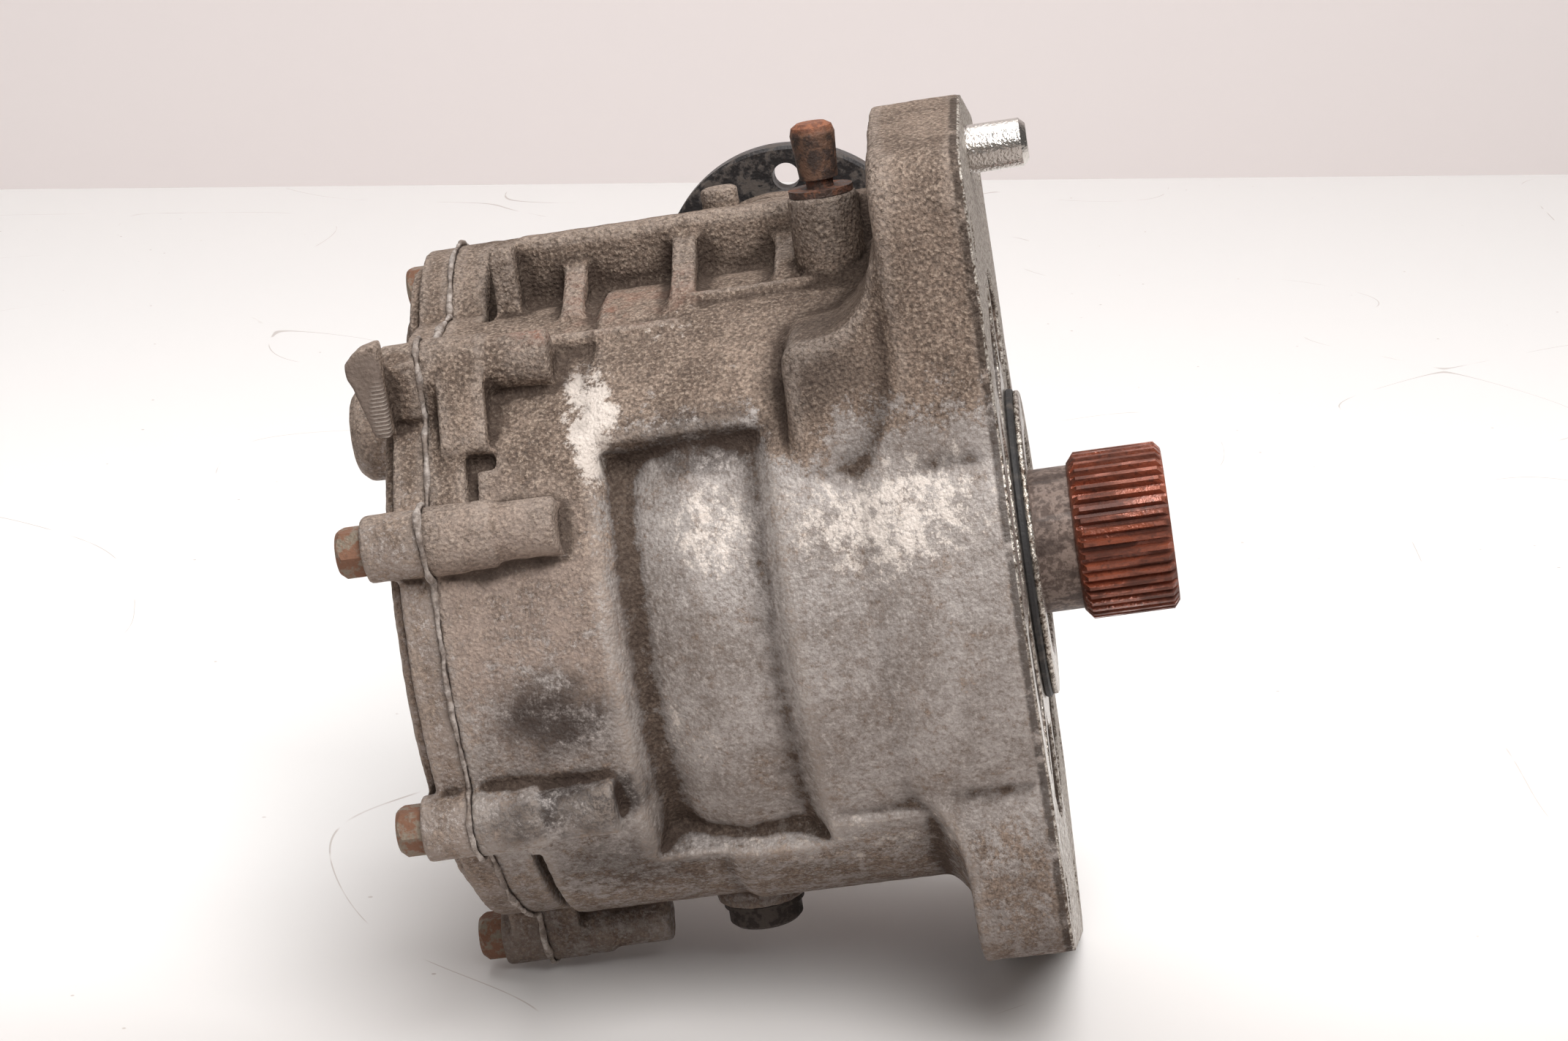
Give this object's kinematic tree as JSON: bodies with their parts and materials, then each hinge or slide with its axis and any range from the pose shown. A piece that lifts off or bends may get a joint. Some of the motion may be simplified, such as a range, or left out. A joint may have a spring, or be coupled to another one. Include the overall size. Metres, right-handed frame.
{
  "type": "transfer case",
  "caption": "Right-angle transfer case: splined hollow input shaft, gear set in a cast two-part case, round output flange, breather and drain plug.",
  "frame": {"origin": "centre of the hollow input shaft in the plane of the mating face", "axes": "+X out of the mating face along the input shaft, +Y towards the output flange, +Z towards the breather"},
  "size_m": [0.2273, 0.2421, 0.2515],
  "materials": {
    "rubber": "matt",
    "rusty_steel": "rusty",
    "dark_flange": "dark oxide",
    "bearing_steel": "ground",
    "gear_steel": "machined",
    "plain_steel": "machined",
    "bolts": "dull zinc",
    "bright_steel": "ground",
    "plated_steel": "dull zinc",
    "rusty_shaft": "light rust",
    "cast_case": "sand cast, weathered",
    "cast_housing": "sand cast",
    "sealant": "cured paste",
    "cast_cover": "sand cast, weathered"
  },
  "bodies": {
    "case": {"axle_oil_seal": "rubber", "breather_stem": "rusty_steel", "breather_washer": "rusty_steel", "counter_front_bearing_cup": "bearing_steel", "counter_rear_bearing_cup": "bearing_steel", "counter_shim": "plain_steel", "cover_bolts": "bolts", "dowel_pin": "bright_steel", "drain_plug": "plated_steel", "drain_washer": "plated_steel", "fill_plug": "plated_steel", "fill_washer": "plated_steel", "housing_o_ring": "rubber", "input_front_bearing_cup": "bearing_steel", "input_oil_seal": "rubber", "input_rear_bearing_cup": "bearing_steel", "input_shim": "plain_steel", "main_case": "cast_case", "pilot_o_ring": "rubber", "pinion_head_bearing_cup": "bearing_steel", "pinion_housing": "cast_housing", "pinion_housing_bolts": "bolts", "pinion_oil_seal": "rubber", "pinion_shim": "plain_steel", "pinion_tail_bearing_cup": "bearing_steel", "sealant_bead": "sealant", "side_cover": "cast_cover"},
    "input": {"input_shaft": "rusty_shaft", "input_gear": "gear_steel", "input_lock_ring": "plain_steel", "input_front_bearing_cone": "bearing_steel", "input_rear_bearing_cone": "bearing_steel"},
    "counter": {"countershaft": "gear_steel", "counter_gear": "gear_steel", "counter_spacer": "plain_steel", "counter_lock_ring": "plain_steel", "ring_gear": "gear_steel", "counter_front_bearing_cone": "bearing_steel", "counter_rear_bearing_cone": "bearing_steel"},
    "output": {"pinion_shaft": "gear_steel", "companion_flange": "dark_flange", "pinion_nut": "plated_steel", "dust_deflector": "plated_steel", "pinion_spacer": "plain_steel", "pinion_head_bearing_cone": "bearing_steel", "pinion_tail_bearing_cone": "bearing_steel"},
    "vent_cap": {"breather_cap": "rusty_steel"}
  },
  "joints": [
    {"name": "input_spin", "type": "hinge", "parent": "case", "child": "input", "pos_m": [0, 0, 0], "axis": [1, 0, 0], "continuous": true},
    {"name": "counter_spin", "type": "hinge", "parent": "case", "child": "counter", "pos_m": [0, 0.03844, 0.0585], "axis": [1, 0, 0], "continuous": true},
    {"name": "output_spin", "type": "hinge", "parent": "case", "child": "output", "pos_m": [-0.0645, 0, 0.0585], "axis": [0, 1, 0], "continuous": true},
    {"name": "breather_cap_lift", "type": "slide", "parent": "case", "child": "vent_cap", "axis": [0, 0, 1], "range_m": [0, 0.001]}
  ],
  "couplings": [
    {"joint": "counter_spin", "follows": "input_spin", "ratio": -2.1111},
    {"joint": "output_spin", "follows": "input_spin", "ratio": -3.284}
  ]
}
